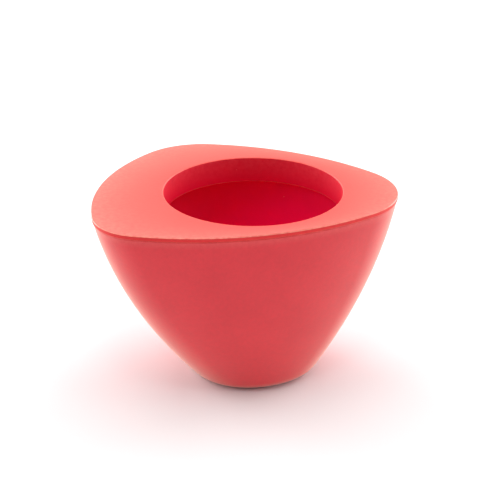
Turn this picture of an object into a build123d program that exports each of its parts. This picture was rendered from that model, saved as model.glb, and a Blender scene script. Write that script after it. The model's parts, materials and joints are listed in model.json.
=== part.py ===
"""Bulb planter: a tapered bowl with a pebble-shaped rim, and a flat lift-off lid with a collar.

Seen from above, every section of the bowl is the same kind of outline: three corner arcs joined
by three large side arcs. At the foot all six arcs lie on one circle, and towards the rim they
blend into the pebble. The lid, its locating lip and the cavity are cut from the same family of
outlines, so they keep fitting each other when a size changes.

Frame: millimetres, origin at the centre of the foot on the ground, +Z up along the common axis
of the foot and the lid's opening, +X towards the right corner, -Y towards the long front side.
"""
from build123d import *
from math import atan2, cos, hypot, pi, radians, sin, sqrt
import os

# ---- Driving dimensions, mm ------------------------------------------------------------------
total_height = 109.0        # ground to the top of the lid
foot_radius = 36.5          # circle where the wall would meet the ground without its rounding
foot_rounding = 10.0        # rounding between the wall and the ground
wall_bulge = 0.56           # how far the wall swells out between foot and rim (0 is a straight taper)

# Rim of the lid, seen from above: three side arcs, each given by the direction that it faces,
# the width of deck that it leaves there outside the opening, and its radius. A corner arc joins
# each side to the next one, anticlockwise.
back_side_direction = 61.2
back_deck_width = 14.2
back_side_radius = 152.0
rear_left_corner_radius = 40.0
left_side_direction = 154.6
left_deck_width = 34.5
left_side_radius = 118.0
front_left_corner_radius = 29.5
front_side_direction = 288.9
front_deck_width = 10.9
front_side_radius = 156.0
right_corner_radius = 40.0

wall = 3.0                  # wall of the bowl, measured level
floor_thickness = 3.5
cavity_rounding = 8.0       # rounding between the cavity's wall and its floor
rim_outer_rounding = 0.6
rim_inner_rounding = 0.4
foot_groove_radius = 24.0   # middle of the moulded ring groove under the foot
foot_groove_width = 2.4
foot_groove_depth = 0.7

lid_thickness = 2.4
lid_overhang = 0.4          # how far the lid stands out past the bowl's rim
lid_top_rounding = 0.5
lid_bottom_rounding = 0.5

opening_radius = 50.0       # straight wall inside the collar
opening_rounding = 0.6      # rounded lip where the deck turns down into the collar
collar_depth = 15.3         # from the top of the lid to the collar's lower edge
collar_wall = 2.0
collar_edge_rounding = 0.7
collar_root_fillet = 1.0    # under the deck, where the collar grows out of it

lip_depth = 6.0             # locating lip under the lid, inside the bowl's rim
lip_thickness = 1.6
lip_clearance = 0.4         # between the locating lip and the cavity's wall
lip_edge_rounding = 0.5

wall_sections = 7           # sections that each wall is lofted through
cut_overrun = 1.0           # how far a cutting solid runs past the face that it opens
tolerance = 0.01            # for finding the edges at a height

# ---- Values that follow ----------------------------------------------------------------------
bowl_height = total_height - lid_thickness

SIDES = [
    (back_side_direction, back_deck_width, back_side_radius),
    (left_side_direction, left_deck_width, left_side_radius),
    (front_side_direction, front_deck_width, front_side_radius),
]
CORNER_RADII = [rear_left_corner_radius, front_left_corner_radius, right_corner_radius]


def side_centre(facing, deck_width, side_radius):
    """Centre of a side arc, which lies behind the planter's axis from the side it makes."""
    back = side_radius - (opening_radius + deck_width)
    return (-back * cos(radians(facing)), -back * sin(radians(facing)))


def corner_centre(side, next_side, side_radius, next_radius, corner_radius):
    """Centre of the corner arc that runs smoothly out of one side arc and into the next."""
    reach = side_radius - corner_radius
    next_reach = next_radius - corner_radius
    gap = hypot(next_side[0] - side[0], next_side[1] - side[1])
    along = (reach**2 - next_reach**2 + gap**2) / (2 * gap)
    across = sqrt(reach**2 - along**2)
    ux, uy = (next_side[0] - side[0]) / gap, (next_side[1] - side[1]) / gap
    return (side[0] + ux * along - uy * across, side[1] + uy * along + ux * across)


def direction(start, end):
    """Compass direction from one point to another, in radians anticlockwise from +X."""
    return atan2(end[1] - start[1], end[0] - start[0])


def rim_arcs():
    """The lid's rim as six arcs, anticlockwise: (centre, radius, first angle, last angle)."""
    count = len(SIDES)
    radii = [side[2] for side in SIDES]
    sides = [side_centre(*side) for side in SIDES]
    corners = [
        corner_centre(
            sides[i], sides[(i + 1) % count], radii[i], radii[(i + 1) % count], CORNER_RADII[i]
        )
        for i in range(count)
    ]
    arcs = []
    for i in range(count):
        first = direction(sides[i], corners[i - 1])
        leave = first + (direction(sides[i], corners[i]) - first) % (2 * pi)
        finish = leave + (direction(sides[(i + 1) % count], corners[i]) - leave) % (2 * pi)
        arcs.append((sides[i], radii[i], first, leave))
        arcs.append((corners[i], CORNER_RADII[i], leave, finish))
    return arcs


RIM = rim_arcs()


def outline(blend, offset, z):
    """Closed wire at height z: blend 0 is the foot's circle, blend 1 the bowl's rim.

    offset moves the whole outline outwards, or inwards where it is negative.
    """
    rim_offset = offset - lid_overhang * blend
    edges = []
    for (cx, cy), radius, first, last in RIM:
        arc_radius = foot_radius + (radius - foot_radius) * blend + rim_offset
        ends = [
            (cx * blend + arc_radius * cos(a), cy * blend + arc_radius * sin(a), z)
            for a in (first, (first + last) / 2, last)
        ]
        edges.append(Edge.make_three_point_arc(*ends))
    return Wire(edges)


def blend_at(z):
    """Blend of the outline at height z: a straight taper that swells in the middle."""
    t = z / bowl_height
    return t + wall_bulge * t * (1 - t)


def tapered_solid(offset, z_low, z_high):
    """Solid between two heights whose wall follows the bowl's wall at a level offset."""
    step = (z_high - z_low) / (wall_sections - 1)
    heights = [z_low + step * i for i in range(wall_sections)]
    return Solid.make_loft([outline(blend_at(z), offset, z) for z in heights])


def edges_at(solid, z):
    """Edges of a solid that lie at height z."""
    return solid.edges().filter_by_position(Axis.Z, z - tolerance, z + tolerance)


def inner_edges_at(solid, z):
    """The edges of the smaller loop, where a solid's face at height z has an edge inside it."""
    face = solid.faces().filter_by_position(Axis.Z, z - tolerance, z + tolerance)[0]
    return face.inner_wires()[0].edges()


def round_edges(solid, radius, z):
    """Circular edges of one radius at height z."""
    circles = edges_at(solid, z).filter_by(GeomType.CIRCLE)
    return circles.filter_by(lambda edge: abs(edge.radius - radius) < tolerance)


def ring(outer_radius, inner_radius, z_low, z_high):
    """Plain round ring about the planter's axis."""
    disc = Pos(0, 0, z_low) * extrude(Circle(outer_radius), z_high - z_low)
    hole = Pos(0, 0, z_low) * extrude(Circle(inner_radius), z_high - z_low)
    return disc - hole


def make_bowl():
    """One-piece moulded bowl with a rounded foot, a deep cavity and a flat rim."""
    body = tapered_solid(0, 0, bowl_height)
    body = fillet(edges_at(body, 0), foot_rounding)
    body = fillet(edges_at(body, bowl_height), rim_outer_rounding)
    cavity = tapered_solid(-wall, floor_thickness, bowl_height + cut_overrun)
    cavity = fillet(edges_at(cavity, floor_thickness), cavity_rounding)
    bowl = body - cavity
    bowl = fillet(inner_edges_at(bowl, bowl_height), rim_inner_rounding)
    groove = ring(
        foot_groove_radius + foot_groove_width / 2,
        foot_groove_radius - foot_groove_width / 2,
        -cut_overrun,
        foot_groove_depth,
    )
    return bowl - groove


def make_lid():
    """Flat deck with a round collared opening and a locating lip that drops inside the rim."""
    deck_bottom = bowl_height
    edge = outline(1, lid_overhang, deck_bottom)
    deck = extrude(Face(edge), lid_thickness, dir=(0, 0, 1))
    deck = fillet(edges_at(deck, total_height), lid_top_rounding)
    deck = fillet(edges_at(deck, deck_bottom), lid_bottom_rounding)

    lip_bottom = deck_bottom - lip_depth
    lip_offset = -(wall + lip_clearance)
    lip = tapered_solid(lip_offset, lip_bottom, deck_bottom)
    lip = fillet(edges_at(lip, lip_bottom), lip_edge_rounding)
    lip -= tapered_solid(lip_offset - lip_thickness, lip_bottom - cut_overrun, deck_bottom)

    collar_bottom = total_height - collar_depth
    collar_radius = opening_radius + collar_wall
    collar = Pos(0, 0, collar_bottom) * extrude(Circle(collar_radius), deck_bottom - collar_bottom)
    lid = deck + lip + collar
    lid = fillet(round_edges(lid, collar_radius, deck_bottom), collar_root_fillet)
    bore = Pos(0, 0, collar_bottom - cut_overrun) * extrude(
        Circle(opening_radius), collar_depth + 2 * cut_overrun
    )
    lid -= bore
    lid = fillet(round_edges(lid, opening_radius, total_height), opening_rounding)
    lid = fillet(edges_at(lid, collar_bottom), collar_edge_rounding)
    return lid


if __name__ == "__main__":
    os.makedirs("parts", exist_ok=True)
    export_step(make_bowl(), "parts/bowl.step")
    export_step(make_lid(), "parts/lid.step")
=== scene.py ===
# %% [markdown]
# # A bulb planter
# The planter is two mouldings: a tapered bowl, and a flat lid with a round collar that a potted
# bulb is let down through. The rim is a soft triangle like a pebble, and the foot is a circle, so
# every section between them is a blend of the two. This lesson makes both pieces from that one
# rule, gives them a matte moulded finish, and lights them like a small product shot.
#
# The frame holds the designed solids. They set every place and size here and stay unchanged.

# %% Load the frame
import json
from collections import namedtuple
from math import asin, atan2, cos, degrees, pi, radians, sin, sqrt

import bmesh
import bpy
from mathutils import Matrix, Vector


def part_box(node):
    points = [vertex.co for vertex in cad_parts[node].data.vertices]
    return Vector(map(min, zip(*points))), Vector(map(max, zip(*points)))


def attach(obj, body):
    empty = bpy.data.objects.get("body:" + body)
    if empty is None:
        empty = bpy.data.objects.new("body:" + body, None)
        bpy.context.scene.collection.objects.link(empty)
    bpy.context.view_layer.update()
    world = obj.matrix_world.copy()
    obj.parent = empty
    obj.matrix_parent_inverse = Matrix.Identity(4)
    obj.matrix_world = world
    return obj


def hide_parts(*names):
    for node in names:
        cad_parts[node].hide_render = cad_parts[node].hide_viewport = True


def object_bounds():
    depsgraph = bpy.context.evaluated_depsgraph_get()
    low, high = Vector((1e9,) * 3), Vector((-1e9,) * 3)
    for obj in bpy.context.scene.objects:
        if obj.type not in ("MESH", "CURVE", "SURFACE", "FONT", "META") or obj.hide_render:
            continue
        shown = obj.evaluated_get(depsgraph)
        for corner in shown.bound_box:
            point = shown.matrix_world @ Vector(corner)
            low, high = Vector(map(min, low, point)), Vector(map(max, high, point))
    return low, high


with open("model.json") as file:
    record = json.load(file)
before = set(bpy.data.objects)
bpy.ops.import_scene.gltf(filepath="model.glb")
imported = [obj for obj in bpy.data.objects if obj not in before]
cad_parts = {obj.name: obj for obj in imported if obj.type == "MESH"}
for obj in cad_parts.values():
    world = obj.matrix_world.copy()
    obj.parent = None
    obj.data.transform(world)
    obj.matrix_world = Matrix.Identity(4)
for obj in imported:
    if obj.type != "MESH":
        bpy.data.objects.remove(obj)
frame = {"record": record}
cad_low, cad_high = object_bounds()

millimetre = 0.001
print("CAD box, mm:", [round(v / millimetre, 1) for v in (*cad_low, *cad_high)])

# %% [markdown]
# ## Read the sizes that the two pieces share
# The frame gives the heights straight away: the bowl ends where the lid begins, the lid's lowest
# point is the edge of its collar, and the opening's radius is written in the record as a mount.
# The walls and roundings are a maker's choice, so they are listed once, in millimetres.

# %% Heights and radii
bowl_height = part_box("bowl")[1].z
lid_low, lid_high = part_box("lid")
collar_bottom, deck_top = lid_low.z, lid_high.z
mounts = {mount["name"]: mount for mount in frame["record"]["mounts"]}
opening_radius = mounts["opening"]["dims"]["r_mm"] * millimetre

foot_radius = 36.5 * millimetre
foot_rounding = 10.0 * millimetre
wall = 3.0 * millimetre
wall_bulge = 0.56  # how far the blend swells ahead of a straight taper
floor_thickness = 3.5 * millimetre
cavity_rounding = 8.0 * millimetre
lid_overhang = 0.4 * millimetre
print("bowl height, mm:", round(bowl_height / millimetre, 2))
print("deck top, mm:", round(deck_top / millimetre, 2))
print("opening radius, mm:", opening_radius / millimetre)

# %% [markdown]
# ## Draw the rim as six arcs
# A freehand curve through many points always ripples a little, and a matte surface shows each
# ripple. The rim is drawn the way a draughtsman would draw it instead: three large side arcs and
# three corner arcs that touch them smoothly. Each side arc is set by the way it faces, how much
# deck it leaves outside the opening, and its radius. The corner circles follow by geometry.

# %% Six smooth arcs
Side = namedtuple("Side", "facing deck_width radius")
Arc = namedtuple("Arc", "centre radius first sweep")

# Facings are in degrees, anticlockwise from +X as seen from above.
SIDES = [
    Side(61.2, 14.2 * millimetre, 152.0 * millimetre),
    Side(154.6, 34.5 * millimetre, 118.0 * millimetre),
    Side(288.9, 10.9 * millimetre, 156.0 * millimetre),
]
# The corner after each side, anticlockwise.
CORNER_RADII = [40.0 * millimetre, 29.5 * millimetre, 40.0 * millimetre]


def side_centre(side):
    """Centre of a side arc, behind the planter's axis as seen from that side."""
    back = side.radius - (opening_radius + side.deck_width)
    facing = radians(side.facing)
    return Vector((-cos(facing), -sin(facing))) * back


def corner_centre(centre, next_centre, radius, next_radius, corner_radius):
    """Centre of the corner circle that touches two side arcs from inside."""
    reach, next_reach = radius - corner_radius, next_radius - corner_radius
    apart = next_centre - centre
    gap = apart.length
    along = (reach**2 - next_reach**2 + gap**2) / (2 * gap)
    across = sqrt(reach**2 - along**2)
    forward = apart / gap
    return centre + forward * along + Vector((-forward.y, forward.x)) * across


def heading(start, end):
    """Angle from one point to another, anticlockwise from +X."""
    return atan2(end.y - start.y, end.x - start.x)


def rim_arcs():
    """The six arcs, each side followed by its corner."""
    radii = [side.radius for side in SIDES]
    centres = [side_centre(side) for side in SIDES]
    after = [(i + 1) % len(SIDES) for i in range(len(SIDES))]
    corners = [
        corner_centre(centres[i], centres[j], radii[i], radii[j], CORNER_RADII[i])
        for i, j in enumerate(after)
    ]
    arcs = []
    for i, j in enumerate(after):
        first = heading(centres[i], corners[i - 1])
        leave = heading(centres[i], corners[i])
        finish = heading(centres[j], corners[i])
        arcs.append(Arc(centres[i], radii[i], first, (leave - first) % (2 * pi)))
        arcs.append(Arc(corners[i], CORNER_RADII[i], leave, (finish - leave) % (2 * pi)))
    return arcs


ARCS = rim_arcs()
print("arcs sweep, degrees:", [round(degrees(arc.sweep), 1) for arc in ARCS])

# %% [markdown]
# ## Cut the arcs into even steps
# Every step around the planter keeps its own arc centre, arc radius and facing. These three stay
# the same from foot to rim, which is what lets one rule shape the whole wall. The lean says how
# fast the wall moves outwards near the ground, and the foot's rounding needs it.

# %% Steps around
Step = namedtuple("Step", "centre radius facing lean")
degrees_per_step = 1.5


def steps_along(arc):
    """Even steps along one arc, without its last point, which the next arc starts with."""
    steps = []
    count = round(degrees(arc.sweep) / degrees_per_step)
    for k in range(count):
        angle = arc.first + arc.sweep * k / count
        facing = Vector((cos(angle), sin(angle)))
        outwards = arc.centre.dot(facing) + arc.radius - lid_overhang - foot_radius
        lean = outwards * (1 + wall_bulge) / bowl_height
        steps.append(Step(arc.centre, arc.radius, facing, lean))
    return steps


STEPS = [step for arc in ARCS for step in steps_along(arc)]
leans = [step.lean for step in STEPS]
print(len(STEPS), "steps around, lean", round(min(leans), 2), "to", round(max(leans), 2))

# %% [markdown]
# ## Describe a section by stations
# A station is one point of the cut-through section. It has a taper (0 where the outline is the
# foot's circle, 1 where it is the rim), an offset from the bowl's outer wall, a height, how much it
# belongs to a worn edge, whose paler colour is wear and also a painted highlight, and whether it is
# on the show side. A helper turns a square corner into a rounded one. It adds a support loop on
# each side, so the flat next to it keeps shading flat.

# %% Rounded corners
Station = namedtuple("Station", "taper offset height worn_edge show_face", defaults=(0.0, 0.0))
corner_steps = 7
support_share = 0.35  # distance of a support loop from its rounding, in roundings
# The support loop's share of wear also widens the painted highlight line onto the flat beside the
# edge.
support_wear_and_highlight = 0.4  # wear at the support loop before an edge, as a share of the edge's own
foot_steps = 14

UP, DOWN, OUT, IN = (0, 1), (0, -1), (1, 0), (-1, 0)


def up_the_wall(height):
    return height / bowl_height


def on_the_rim(height):
    return 1.0


def on_the_circle(height):
    return 0.0


def rounded(corner, into, out, radius, taper, edge=0.0):
    """Stations round a square corner, arriving in direction `into` and leaving along `out`."""
    offset, height = corner
    lead = 1 + support_share
    turns = [pi / 2 * k / corner_steps for k in range(corner_steps + 1)]
    shares = [(lead, 0.0, edge * support_wear_and_highlight)]
    # The wear value peaks mid-rounding; its paler colour there is wear and also a painted highlight
    # line.
    shares += [(1 - sin(q), 1 - cos(q), edge * sqrt(abs(sin(2 * q)))) for q in turns]
    shares += [(0.0, lead, 0.0)]
    stations = []
    for before, after, worn_and_highlit in shares:
        z = height + radius * (out[1] * after - into[1] * before)
        x = offset + radius * (out[0] * after - into[0] * before)
        stations.append(Station(taper(z), x, z, worn_and_highlit))
    return stations


def foot_curve(radius, lean, ground, offset):
    """Stations of the true round between level ground and a wall that leans outwards."""
    slope = sqrt(1 + lean**2)
    inset = radius * (slope - lean)
    last = asin(1 / slope)
    stations = []
    for k in range(foot_steps + 1):
        q = last * k / foot_steps
        rise = radius * (1 - cos(q))
        reach = radius * sin(q) - inset - lean * rise
        stations.append(Station(up_the_wall(ground + rise), offset + reach, ground + rise))
    return stations


def finished(stations, show_face):
    """The same stations marked 1 for the show side or 0 for the inside."""
    return [station._replace(show_face=show_face) for station in stations]


print("a rounded corner:", len(rounded((0.0, 0.0), UP, OUT, 1.0, on_the_rim)), "stations")

# %% [markdown]
# ## The bowl's section
# One line describes the bowl: from the middle of the foot outwards, over the moulded ring groove,
# round the foot, up the outer wall, over the rim, down the cavity and in across its floor. A lathe
# could only make round sections, so the same line is used at every step around, and the rule moves
# it outwards by the right amount there.

# %% Bowl stations
wall_steps = 26
rim_outer_rounding = 0.6 * millimetre
rim_inner_rounding = 0.4 * millimetre
# Wear on the bowl's rim edges; its paler colour also paints the faint highlight line under the
# lid's edge.
rim_wear_and_highlight = 0.35
groove_radius = 24.0 * millimetre
groove_width = 2.4 * millimetre
groove_depth = 0.7 * millimetre
groove_rounding = 0.25 * millimetre
middle_radius = groove_radius / 2  # one ring of points between the axis and the groove


def disc_station(radius, height):
    """A station on a flat round face, measured from the planter's axis."""
    return Station(0.0, radius - foot_radius, height)


def groove_stations():
    """The ring groove under the foot, from its inner edge to its outer edge."""
    inner = groove_radius - groove_width / 2 - foot_radius
    outer = groove_radius + groove_width / 2 - foot_radius
    corners = [
        ((inner, 0.0), OUT, UP),
        ((inner, groove_depth), UP, OUT),
        ((outer, groove_depth), OUT, DOWN),
        ((outer, 0.0), DOWN, OUT),
    ]
    stations = []
    for corner, into, out in corners:
        stations += rounded(corner, into, out, groove_rounding, on_the_circle)
    return stations


def between(low, high, count, offset):
    """Stations spaced evenly up the wall, without its two ends."""
    rises = [low + (high - low) * k / count for k in range(1, count)]
    return [Station(up_the_wall(z), offset, z) for z in rises]


def bowl_section(lean):
    """Every station of the bowl's section, from the foot's middle to the floor's middle."""
    outer_foot = foot_curve(foot_rounding, lean, 0.0, 0.0)
    outer_rim = rounded(
        (0.0, bowl_height), UP, IN, rim_outer_rounding, up_the_wall, edge=rim_wear_and_highlight
    )
    inner_rim = rounded(
        (-wall, bowl_height), IN, DOWN, rim_inner_rounding, up_the_wall, edge=rim_wear_and_highlight
    )
    inner_foot = foot_curve(cavity_rounding, lean, floor_thickness, -wall)

    outside = [disc_station(0.0, 0.0), disc_station(middle_radius, 0.0)]
    outside += groove_stations() + outer_foot
    outside += between(outer_foot[-1].height, outer_rim[0].height, wall_steps, 0.0)
    outside += outer_rim
    inside = inner_rim
    inside += between(inner_rim[-1].height, inner_foot[-1].height, wall_steps, -wall)
    inside += inner_foot[::-1]
    inside += [disc_station(middle_radius, floor_thickness), disc_station(0.0, floor_thickness)]
    return finished(outside, 1.0) + finished(inside, 0.0)


print("bowl section:", len(bowl_section(leans[0])), "stations")

# %% [markdown]
# ## The lid's section
# The lid is a ring, so its section is a closed loop. It is written from the opening outwards: over
# the deck, round the worn outer edge, back under the overhang, down and up the thin locating lip
# that drops inside the rim, along the underside, and down round the collar. On the deck the taper
# runs from 0 at the opening's circle to 1 at the rim, so the same rule draws the circle and the
# pebble, and the paler tone grows a little towards the rim as well. That tone is wear, and on the
# outer edge and the collar's lower edge it is also a painted highlight line.

# %% Lid stations
lid_top_rounding = 0.5 * millimetre
lid_bottom_rounding = 0.5 * millimetre
opening_rounding = 0.6 * millimetre
collar_wall = 2.0 * millimetre
collar_edge_rounding = 0.7 * millimetre
collar_root_fillet = 1.0 * millimetre
lip_depth = 6.0 * millimetre
lip_thickness = 1.6 * millimetre
lip_clearance = 0.4 * millimetre
lip_edge_rounding = 0.5 * millimetre
lip_root_rounding = 0.2 * millimetre
deck_steps = 10
# Wear on the lid's edges; at the deck's outer edge and the collar's lower edge its paler colour is
# also a painted highlight line.
opening_wear, deck_edge_wear_and_highlight, collar_outer_wear_and_highlight, collar_inner_wear_and_highlight = 0.3, 1.0, 0.3, 0.5


def deck_span(start, end, count):
    """Stations across a flat face between two others, without its two ends."""
    shares = [k / count for k in range(1, count)]
    return [Station(*(a + (b - a) * s for a, b in zip(start, end))) for s in shares]


def lid_section(lean):
    """Every station of the lid's section, once round its closed loop."""
    bore = opening_radius - foot_radius
    collar = bore + collar_wall
    lip_outer = -(wall + lip_clearance)
    lip_inner = lip_outer - lip_thickness
    lip_bottom = bowl_height - lip_depth
    seat = bowl_height

    opening = rounded(
        (bore, deck_top), UP, OUT, opening_rounding, on_the_circle, edge=opening_wear
    )
    rim_top = rounded(
        (lid_overhang, deck_top), OUT, DOWN, lid_top_rounding, on_the_rim, edge=deck_edge_wear_and_highlight
    )
    rim_low = rounded((lid_overhang, seat), DOWN, IN, lid_bottom_rounding, on_the_rim)
    lip_root = rounded((lip_outer, seat), IN, DOWN, lip_root_rounding, up_the_wall)
    lip_out = rounded((lip_outer, lip_bottom), DOWN, IN, lip_edge_rounding, up_the_wall)
    lip_in = rounded((lip_inner, lip_bottom), IN, UP, lip_edge_rounding, up_the_wall)
    lip_top = rounded((lip_inner, seat), UP, IN, lip_root_rounding, up_the_wall)
    root = rounded((collar, seat), IN, DOWN, collar_root_fillet, on_the_circle)
    edge_out = rounded(
        (collar, collar_bottom), DOWN, IN, collar_edge_rounding, on_the_circle,
        edge=collar_outer_wear_and_highlight,
    )
    edge_in = rounded(
        (bore, collar_bottom), IN, UP, collar_edge_rounding, on_the_circle,
        edge=collar_inner_wear_and_highlight,
    )

    # The show finish begins part-way up the opening's rounding, where the deck starts to turn in.
    turn = corner_steps // 2
    top = opening[turn:] + deck_span(opening[-1], rim_top[0], deck_steps) + rim_top + rim_low
    under = lip_root + lip_out + lip_in + lip_top
    under += deck_span(lip_top[-1], root[0], deck_steps)
    under += root + edge_out + edge_in + opening[:turn]
    # Written this way the loop runs clockwise; reversed, its faces point outwards.
    return (finished(top, 1.0) + finished(under, 0.0))[::-1]


print("lid section:", len(lid_section(leans[0])), "stations")

# %% [markdown]
# ## Make a blank that carries the numbers
# A blank is only the net of faces: rows of stations round the planter. Its points all start at the
# origin and carry their numbers as attributes, and the Geometry Nodes tree below reads those to
# place them. Keeping the net and the rule apart means either can be changed without the other.

# %% Blanks
def store(mesh, name, kind, values):
    """Writes one value for each point of a mesh."""
    attribute = mesh.attributes.new(name, kind, "POINT")
    field = "vector" if kind == "FLOAT_VECTOR" else "value"
    attribute.data.foreach_set(field, values)


def net_of_faces(rows, columns, closed):
    """Quads between neighbouring rows; the rows close in a ring, the columns only if `closed`."""
    faces = []
    for row in range(rows):
        here, there = row * columns, (row + 1) % rows * columns
        for column in range(columns if closed else columns - 1):
            beside = (column + 1) % columns
            faces.append((here + column, there + column, there + beside, here + beside))
    return faces


def make_blank(name, section, closed):
    """A net of faces round the planter, its stations stored as attributes."""
    sections = [section(step.lean) for step in STEPS]
    columns = len(sections[0])
    stations = [station for row in sections for station in row]
    around = [step for step in STEPS for _ in range(columns)]
    mesh = bpy.data.meshes.new(name)
    mesh.from_pydata(
        [(0, 0, 0)] * len(stations), [], net_of_faces(len(sections), columns, closed)
    )
    for field in Station._fields:
        store(mesh, field, "FLOAT", [getattr(station, field) for station in stations])
    store(mesh, "arc_radius", "FLOAT", [step.radius for step in around])
    store(mesh, "arc_centre", "FLOAT_VECTOR", [v for step in around for v in (*step.centre, 0)])
    store(mesh, "facing", "FLOAT_VECTOR", [v for step in around for v in (*step.facing, 0)])
    blank = bpy.data.objects.new(name, mesh)
    bpy.context.scene.collection.objects.link(blank)
    print(name, len(mesh.vertices), "points", len(mesh.polygons), "faces")
    return blank


bowl_blank = make_blank("bowl_blank", bowl_section, closed=False)
lid_blank = make_blank("lid_blank", lid_section, closed=True)

# %% [markdown]
# ## Small helpers for wiring nodes
# The finish and the rule are both node trees. Each helper adds one node, wires it and gives back
# its output, so that the trees below read like sentences.

# %% Node helpers
def link(tree, source, target):
    tree.links.new(source, target)


def maths(tree, operation, *values):
    """One Math node; each value is a socket or a number."""
    node = tree.nodes.new("ShaderNodeMath")
    node.operation = operation
    for socket, value in zip(node.inputs, values):
        if isinstance(value, (int, float)):
            socket.default_value = value
        else:
            link(tree, value, socket)
    return node.outputs[0]


def noise(tree, place, scale, detail, roughness):
    """Procedural noise over the object's own coordinates."""
    node = tree.nodes.new("ShaderNodeTexNoise")
    node.inputs["Scale"].default_value = scale
    node.inputs["Detail"].default_value = detail
    node.inputs["Roughness"].default_value = roughness
    link(tree, place, node.inputs["Vector"])
    return node.outputs["Fac"]


def spread(tree, value, source, target):
    """Maps one (low, high) range of values to another, clamped."""
    node = tree.nodes.new("ShaderNodeMapRange")
    node.inputs["From Min"].default_value, node.inputs["From Max"].default_value = source
    node.inputs["To Min"].default_value, node.inputs["To Max"].default_value = target
    link(tree, value, node.inputs["Value"])
    return node.outputs["Result"]


def blend_colour(tree, amount, first, second):
    """Mixes two colours; each is a socket or a plain colour."""
    node = tree.nodes.new("ShaderNodeMix")
    node.data_type = "RGBA"
    link(tree, amount, node.inputs["Factor"])
    # Sockets 6 and 7 are the colour pair; the ones before them are for other data types.
    for socket, colour in ((node.inputs[6], first), (node.inputs[7], second)):
        if isinstance(colour, tuple):
            socket.default_value = (*colour, 1.0)
        else:
            link(tree, colour, socket)
    return node.outputs[2]


def bump(tree, height, strength, depth, normal=None):
    """One Bump node, over another bump's normal if given."""
    node = tree.nodes.new("ShaderNodeBump")
    node.inputs["Strength"].default_value = strength
    node.inputs["Distance"].default_value = depth
    link(tree, height, node.inputs["Height"])
    if normal is not None:
        link(tree, normal, node.inputs["Normal"])
    return node.outputs["Normal"]


print("helpers: link, maths, noise, spread, blend_colour, bump")

# %% [markdown]
# ## The finish: matte moulded resin
# The surface is matte and opaque, with a fine cloudiness, a faint orange-peel grain that the mould
# leaves, and a few pale specks of filler. One flat colour would look like a drawing, so the colour,
# the roughness and the bump each vary a little, at three scales. The worn edges, where hands polish
# the corners, are smoother and painted paler: the pale tone is wear and also a painted highlight
# line along the edges. The coordinates are the object's own, in metres, so the grain has its real
# size and stays put when the lid lifts.

# %% Numbers of the resin
# Sizes of the surface detail as noise scales, in cells to the metre.
cloud_scale = 38.0
mottle_scale = 420.0
grain_scale = 2600.0
speck_scale = 210.0
# How much clouds and mottle each steer the tone, and the part of the result that is used.
cloud_share, mottle_share = 0.45, 0.55
tone_range = (0.34, 0.66)
mottle_range = (0.3, 0.7)
# A speck fades out between two distances from its cell's middle; only rare cells have one.
speck_fade = (0.05, 0.09)
speck_rarity = 0.93
speck_strength = 0.35
speck_colour = (0.95, 0.42, 0.36)
# Wear is patchy, like the mottle; it smooths the edge, and its paler colour is wear and also a
# painted highlight.
wear_and_highlight_patches = (0.4, 1.0)
wear_and_highlight_strength = 0.85
wear_and_highlight_colour = (1.0, 0.40, 0.30)
wear_smoothing = 0.28
roughness_range = (0.50, 0.60)
peel_strength, peel_depth = 0.25, 0.15 * millimetre
grain_strength, grain_depth = 0.34, 0.04 * millimetre
refraction = 1.5
haze_roughness = 0.46
print("finest grain, mm:", round(1 / grain_scale / millimetre, 2))

# %% [markdown]
# ## Four finishes from one recipe
# Each piece has a show side and an inside. The show side has a haze: fine texture that turns pale
# where the surface is seen at a grazing angle, which the sheen of the shader stands for. Inside,
# light bounces from red to red and nothing looks pale, so the haze is left out, the gloss is low
# and the colour deep. The inside colours are also painted light and shade: the bowl's inside is a
# lighter copy that paints light into the cavity, and the lid's inside a darker copy that paints
# shade on the collar.

# %% Resin material
def resin_colour(tree, place, mottle, wear_and_highlight, deep, light):
    """Cloudy tone from deep to light, with pale specks and worn edges painted paler, also as a
    highlight.
    """
    clouds = noise(tree, place, cloud_scale, 3.0, 0.5)
    tone = maths(
        tree, "ADD",
        maths(tree, "MULTIPLY", clouds, cloud_share),
        maths(tree, "MULTIPLY", mottle, mottle_share),
    )
    colour = blend_colour(tree, spread(tree, tone, tone_range, (0.0, 1.0)), deep, light)

    cells = tree.nodes.new("ShaderNodeTexVoronoi")
    cells.inputs["Scale"].default_value = speck_scale
    link(tree, place, cells.inputs["Vector"])
    dots = spread(tree, cells.outputs["Distance"], speck_fade, (1.0, 0.0))
    channels = tree.nodes.new("ShaderNodeSeparateColor")
    link(tree, cells.outputs["Color"], channels.inputs[0])
    rare = maths(tree, "GREATER_THAN", channels.outputs[0], speck_rarity)
    specks = maths(tree, "MULTIPLY", maths(tree, "MULTIPLY", dots, rare), speck_strength)
    colour = blend_colour(tree, specks, colour, speck_colour)
    # Worn edges painted paler: wear, and also the painted highlight along the edges.
    return blend_colour(
        tree, maths(tree, "MULTIPLY", wear_and_highlight, wear_and_highlight_strength), colour, wear_and_highlight_colour
    )


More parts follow.
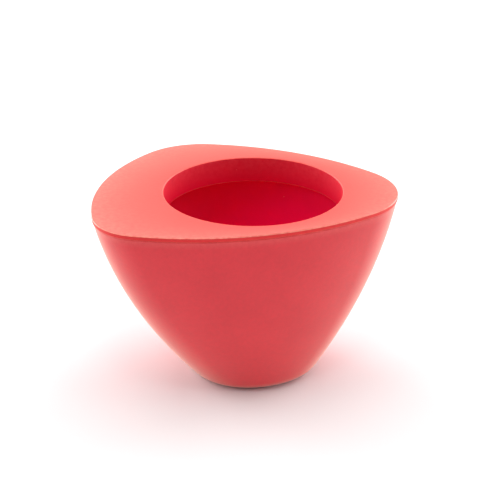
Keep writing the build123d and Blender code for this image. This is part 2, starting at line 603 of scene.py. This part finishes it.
def moulded_resin(name, deep, light, bloom, haze, gloss):
    """Matte resin from a deep to a light tone; `haze` is its bloom at grazing angles."""
    material = bpy.data.materials.new(name)
    material.use_nodes = True
    tree = material.node_tree
    shader = tree.nodes["Principled BSDF"].inputs
    place = tree.nodes.new("ShaderNodeTexCoord").outputs["Object"]
    mottle = noise(tree, place, mottle_scale, 5.0, 0.62)
    grain = noise(tree, place, grain_scale, 3.0, 0.55)
    edge = tree.nodes.new("ShaderNodeAttribute")
    edge.attribute_name = "worn_edge"
    # The edge mask pales the colour, which paints the edge highlight too, and smooths the
    # roughness.
    patches = spread(tree, mottle, mottle_range, wear_and_highlight_patches)
    wear_and_highlight = maths(tree, "MULTIPLY", edge.outputs["Fac"], patches)

    colour = resin_colour(tree, place, mottle, wear_and_highlight, deep, light)
    link(tree, colour, shader["Base Color"])
    matte = spread(tree, mottle, mottle_range, roughness_range)
    smoother = maths(tree, "MULTIPLY", wear_and_highlight, wear_smoothing)
    link(tree, maths(tree, "SUBTRACT", matte, smoother), shader["Roughness"])
    peel = bump(tree, mottle, peel_strength, peel_depth)
    link(tree, bump(tree, grain, grain_strength, grain_depth, peel), shader["Normal"])

    shader["IOR"].default_value = refraction
    shader["Specular IOR Level"].default_value = gloss
    shader["Sheen Weight"].default_value = haze
    shader["Sheen Roughness"].default_value = haze_roughness
    shader["Sheen Tint"].default_value = (*bloom, 1.0)
    return material


bowl_bloom, lid_bloom = (1.0, 0.82, 0.68), (1.0, 0.65, 0.42)
bowl_outside = moulded_resin(
    "bowl_outside", (0.72, 0.001, 0.020), (0.82, 0.010, 0.030), bowl_bloom, haze=0.85, gloss=0.5
)
# The bowl's inside is a lighter copy of the resin that paints light into the cavity.
bowl_inside_painted_light = moulded_resin(
    "bowl_inside_painted_light", (0.97, 0.001, 0.100), (0.99, 0.002, 0.120), bowl_bloom, haze=0.0, gloss=0.2
)
lid_deck = moulded_resin(
    "lid_deck", (0.74, 0.001, 0.006), (0.84, 0.014, 0.018), lid_bloom, haze=0.35, gloss=0.5
)
# The lid's inside is a darker copy of the resin that paints shade on the collar.
lid_inside_painted_shade = moulded_resin(
    "lid_inside_painted_shade", (0.66, 0.000, 0.030), (0.70, 0.001, 0.038), lid_bloom, haze=0.0, gloss=0.2
)
print("finishes:", bowl_outside.name, bowl_inside_painted_light.name, lid_deck.name, lid_inside_painted_shade.name)

# %% [markdown]
# ## The rule, as Geometry Nodes
# The tree does in nodes what a mould maker does with templates. It turns the taper into a blend
# that swells in the middle, slides the arc's centre out from the axis by that blend, grows the
# arc's radius from the foot's to the rim's, adds the offset, and sets the point there. Points that
# meet on the axis are merged, so both ends close. The sizes and finishes are named inputs on the
# modifier, and the last two nodes paint the show side and then the inside.

# %% Pebble rule tree
def attribute_node(tree, name, kind="FLOAT"):
    """Reads one of the blank's attributes."""
    node = tree.nodes.new("GeometryNodeInputNamedAttribute")
    node.data_type = kind
    node.inputs["Name"].default_value = name
    return node.outputs["Attribute"]


def scaled(tree, vector, amount):
    """A vector times a number."""
    node = tree.nodes.new("ShaderNodeVectorMath")
    node.operation = "SCALE"
    link(tree, vector, node.inputs[0])
    link(tree, amount, node.inputs["Scale"])
    return node.outputs[0]


def added(tree, first, second):
    """The sum of two vectors."""
    node = tree.nodes.new("ShaderNodeVectorMath")
    node.operation = "ADD"
    link(tree, first, node.inputs[0])
    link(tree, second, node.inputs[1])
    return node.outputs[0]


def declare_sockets(tree):
    """The tree's named inputs and its one output."""
    face = tree.interface
    face.new_socket("Geometry", in_out="INPUT", socket_type="NodeSocketGeometry")
    for name in ("Foot radius", "Bulge", "Overhang", "Merge distance"):
        face.new_socket(name, in_out="INPUT", socket_type="NodeSocketFloat")
    for name in ("Show finish", "Inside finish"):
        face.new_socket(name, in_out="INPUT", socket_type="NodeSocketMaterial")
    face.new_socket("Geometry", in_out="OUTPUT", socket_type="NodeSocketGeometry")


def place_of_point(tree, given):
    """Where the rule puts each point of the blank."""
    taper = attribute_node(tree, "taper")
    swell = maths(tree, "MULTIPLY", taper, maths(tree, "SUBTRACT", 1.0, taper))
    blend = maths(tree, "MULTIPLY_ADD", swell, given["Bulge"], taper)
    rim_radius = maths(tree, "SUBTRACT", attribute_node(tree, "arc_radius"), given["Overhang"])
    growth = maths(tree, "SUBTRACT", rim_radius, given["Foot radius"])
    wall_radius = maths(tree, "MULTIPLY_ADD", growth, blend, given["Foot radius"])
    reach = maths(tree, "ADD", wall_radius, attribute_node(tree, "offset"))

    centre = scaled(tree, attribute_node(tree, "arc_centre", "FLOAT_VECTOR"), blend)
    outwards = scaled(tree, attribute_node(tree, "facing", "FLOAT_VECTOR"), reach)
    raised = tree.nodes.new("ShaderNodeCombineXYZ")
    link(tree, attribute_node(tree, "height"), raised.inputs["Z"])
    return added(tree, added(tree, centre, outwards), raised.outputs[0])


def make_pebble_rule():
    """The Geometry Nodes tree that places every point of a blank."""
    tree = bpy.data.node_groups.new("pebble_rule", "GeometryNodeTree")
    declare_sockets(tree)
    given = tree.nodes.new("NodeGroupInput").outputs
    result = tree.nodes.new("NodeGroupOutput").inputs

    move = tree.nodes.new("GeometryNodeSetPosition")
    merge = tree.nodes.new("GeometryNodeMergeByDistance")
    smooth = tree.nodes.new("GeometryNodeSetShadeSmooth")
    realize = tree.nodes.new("GeometryNodeRealizeInstances")
    paint_show = tree.nodes.new("GeometryNodeSetMaterial")
    paint_inside = tree.nodes.new("GeometryNodeSetMaterial")

    link(tree, place_of_point(tree, given), move.inputs["Position"])
    link(tree, given["Merge distance"], merge.inputs["Distance"])
    link(tree, given["Show finish"], paint_show.inputs["Material"])
    link(tree, given["Inside finish"], paint_inside.inputs["Material"])
    hidden = maths(tree, "LESS_THAN", attribute_node(tree, "show_face"), 0.5)
    link(tree, hidden, paint_inside.inputs["Selection"])

    flow = given["Geometry"]
    for node in (move, merge, smooth, realize, paint_show, paint_inside):
        link(tree, flow, node.inputs["Geometry"])
        flow = node.outputs["Geometry"]
    link(tree, flow, result["Geometry"])
    return tree


pebble_rule = make_pebble_rule()
print("tree inputs:", [item.name for item in pebble_rule.interface.items_tree])

# %% [markdown]
# ## Run the rule and keep a plain mesh
# The modifier's inputs are set by socket identifier before anything looks at the result. Then the
# evaluated shape becomes an ordinary mesh and the blank is thrown away, so each finished piece is
# a plain object at the origin. It rides on the body it belongs to and stands in for one solid.

# %% Shape the two pieces
merge_distance = 0.005 * millimetre


def shape(blank, name, show_finish, inside_finish):
    """Runs the pebble rule on a blank and returns the finished piece."""
    modifier = blank.modifiers.new("pebble rule", "NODES")
    modifier.node_group = pebble_rule
    values = {
        "Foot radius": foot_radius,
        "Bulge": wall_bulge,
        "Overhang": lid_overhang,
        "Merge distance": merge_distance,
        "Show finish": show_finish,
        "Inside finish": inside_finish,
    }
    for item in pebble_rule.interface.items_tree:
        if item.name in values:
            modifier[item.identifier] = values[item.name]
    graph = bpy.context.evaluated_depsgraph_get()
    mesh = bpy.data.meshes.new_from_object(
        blank.evaluated_get(graph), preserve_all_data_layers=True, depsgraph=graph
    )
    mesh.name = name
    bpy.data.objects.remove(blank)
    piece = bpy.data.objects.new(name, mesh)
    bpy.context.scene.collection.objects.link(piece)
    return piece


bowl = shape(bowl_blank, "bowl_shell", bowl_outside, bowl_inside_painted_light)
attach(bowl, "bowl")
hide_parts("bowl")

lid = shape(lid_blank, "lid_plate", lid_deck, lid_inside_painted_shade)
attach(lid, "lid")
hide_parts("lid")
print("finishes used:", [[m.name for m in piece.data.materials] for piece in (bowl, lid)])

# %% [markdown]
# ## Check each piece against its solid
# A closed mesh whose faces point outwards has a positive volume. Its box should be the solid's box
# to within a few hundredths of a millimetre, or the two drawings have drifted apart.

# %% Check shapes
def check_shape(piece, node):
    """Prints how a piece compares with the solid it stands for."""
    mesh = bmesh.new()
    mesh.from_mesh(piece.data)
    open_edges = sum(1 for edge in mesh.edges if not edge.is_manifold)
    volume = mesh.calc_volume(signed=True) / millimetre**3
    mesh.free()
    corners = [vertex.co for vertex in piece.data.vertices]
    low = Vector([min(c[axis] for c in corners) for axis in range(3)])
    high = Vector([max(c[axis] for c in corners) for axis in range(3)])
    solid_low, solid_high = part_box(node)
    drift = max(abs(v) for v in (*(low - solid_low), *(high - solid_high))) / millimetre
    print(piece.name, "volume", round(volume), "open edges", open_edges, "drift", round(drift, 3))


check_shape(bowl, "bowl")
check_shape(lid, "lid")

# %% [markdown]
# ## The floor
# The planter stands on a wide sheet of pale paper. It throws light back up under the leaning wall,
# and it lies a hair below the foot, so that the two faces never fight over the same level.

# %% Floor
floor_radius = 6.0
floor_gap = 0.05 * millimetre
floor_corners = 96
paper_white = (0.80, 0.80, 0.80, 1.0)


def make_floor():
    """A wide round sheet of pale paper."""
    mesh = bpy.data.meshes.new("floor")
    level = cad_low.z - floor_gap
    turns = [2 * pi * k / floor_corners for k in range(floor_corners)]
    rim = [(floor_radius * cos(q), floor_radius * sin(q), level) for q in turns]
    mesh.from_pydata(rim, [], [tuple(range(floor_corners))])
    paper = bpy.data.materials.new("white_paper")
    paper.use_nodes = True
    shader = paper.node_tree.nodes["Principled BSDF"].inputs
    shader["Base Color"].default_value = paper_white
    shader["Roughness"].default_value = 0.9
    shader["Specular IOR Level"].default_value = 0.1
    mesh.materials.append(paper)
    floor = bpy.data.objects.new("floor", mesh)
    bpy.context.scene.collection.objects.link(floor)
    return floor


floor = make_floor()
print("floor level, mm:", round(floor.data.vertices[0].co.z / millimetre, 3))

# %% [markdown]
# ## The light
# Seven softboxes stand round the planter, all turned towards its middle. The overhead one hangs a
# little behind, so the deck is the brightest face and the front wall falls darker. The side and
# rear ones catch the wall at its edges, where the matte surface turns pale, and a small one in
# front keeps the near wall from going dull. An even white surround fills in the rest.

# %% Lights
Softbox = namedtuple("Softbox", "place width height watts")
SOFTBOXES = {
    "overhead_softbox": Softbox((0.0, 0.15, 1.3), 1.3, 1.1, 10.2),
    "back_softbox": Softbox((0.0, 1.5, 0.75), 2.2, 1.0, 8.0),
    "left_softbox": Softbox((-1.3, 0.0, 0.6), 1.2, 1.0, 8.6),
    "right_softbox": Softbox((1.3, 0.0, 0.6), 1.2, 1.0, 7.6),
    "front_softbox": Softbox((0.0, -0.6, 1.4), 0.3, 0.25, 1.6),
    "rear_left_softbox": Softbox((-1.1, 0.9, 0.45), 0.9, 0.8, 14.5),
    "rear_right_softbox": Softbox((1.1, 0.9, 0.45), 0.9, 0.8, 14.5),
}
surround_strength = 0.34
middle = (cad_low + cad_high) / 2


def add_softbox(name, box):
    """A rectangular light that faces the planter's middle."""
    data = bpy.data.lights.new(name, "AREA")
    data.shape = "RECTANGLE"
    data.size, data.size_y = box.width, box.height
    data.energy = box.watts
    light = bpy.data.objects.new(name, data)
    light.location = box.place
    light.rotation_mode = "QUATERNION"
    light.rotation_quaternion = (middle - Vector(box.place)).to_track_quat("-Z", "Y")
    bpy.context.scene.collection.objects.link(light)


for name, box in SOFTBOXES.items():
    add_softbox(name, box)

surround = bpy.data.worlds.new("light_tent")
surround.use_nodes = True
background = surround.node_tree.nodes["Background"].inputs
background["Color"].default_value = (1.0, 1.0, 1.0, 1.0)
background["Strength"].default_value = surround_strength
bpy.context.scene.world = surround
bpy.context.scene.view_settings.view_transform = "Standard"
print(len(SOFTBOXES), "softboxes,", round(sum(box.watts for box in SOFTBOXES.values()), 1), "W")

# %% [markdown]
# ## The camera
# The camera looks down at the front of the planter from about 25 degrees. It stands close enough
# for a little perspective, with the whole planter and its shadow in view.

# %% Camera
camera_elevation = radians(25.2)
camera_distance = 0.657
field_of_view = radians(24.53)
aim = Vector((-1.7 * millimetre, 0.0, deck_top - 37.4 * millimetre))
nearest, farthest = 0.01, 20.0

camera_data = bpy.data.cameras.new("camera")
camera_data.angle = field_of_view
camera_data.clip_start, camera_data.clip_end = nearest, farthest
camera = bpy.data.objects.new("camera", camera_data)
backwards = Vector((0.0, -cos(camera_elevation), sin(camera_elevation)))
camera.location = aim + backwards * camera_distance
camera.rotation_mode = "QUATERNION"
camera.rotation_quaternion = (-backwards).to_track_quat("-Z", "Y")
bpy.context.scene.collection.objects.link(camera)
bpy.context.scene.camera = camera
print("camera height, m:", round(camera.location.z, 3))
